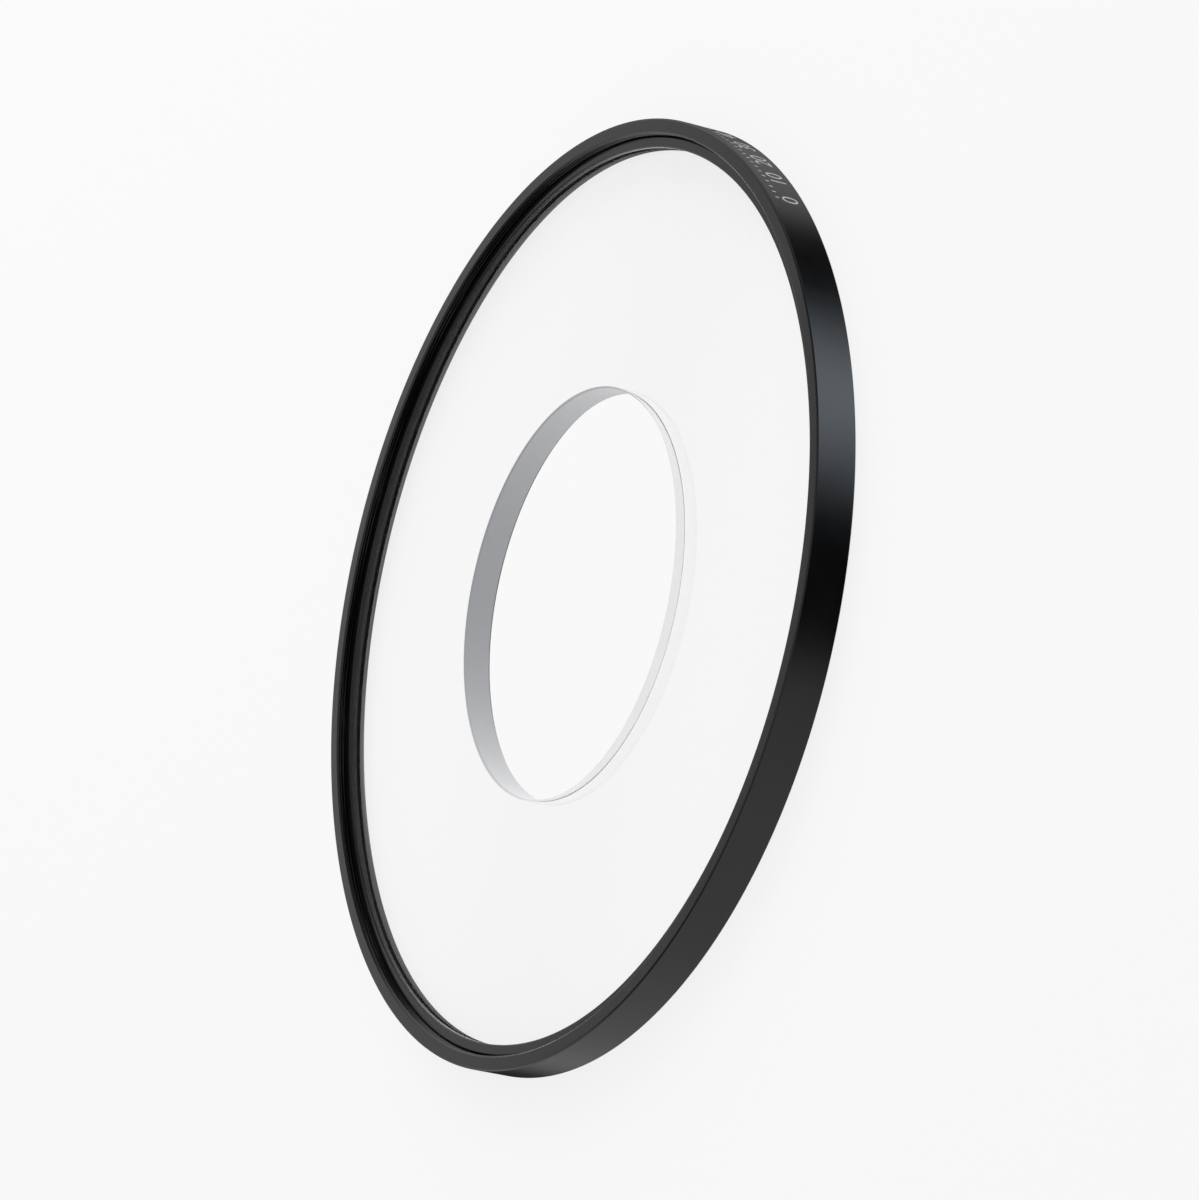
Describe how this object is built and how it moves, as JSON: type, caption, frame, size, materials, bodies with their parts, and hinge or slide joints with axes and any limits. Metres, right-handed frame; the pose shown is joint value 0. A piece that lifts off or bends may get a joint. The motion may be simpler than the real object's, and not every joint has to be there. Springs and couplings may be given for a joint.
{
  "type": "close-up filter",
  "caption": "Slip-in close-up filter: a weak annular glass lens with a large clear hole in its middle, held in a thin round black ring.",
  "frame": {"origin": "middle of the back face, on the optical axis", "axes": "+Z along the optical axis, out of the front face that the retaining ring closes; one spanner slot lies on +Y and the other on -Y"},
  "size_m": [0.138, 0.138, 0.0062],
  "materials": {
    "ring_black": "satin black anodised",
    "retainer_black": "satin black anodised",
    "lens_glass": "polished faces with a low-reflection coating, ground hole wall and bevels"
  },
  "bodies": {
    "root": {"filter_ring": "ring_black", "retaining_ring": "retainer_black", "close_up_lens": "lens_glass"}
  },
  "joints": []
}
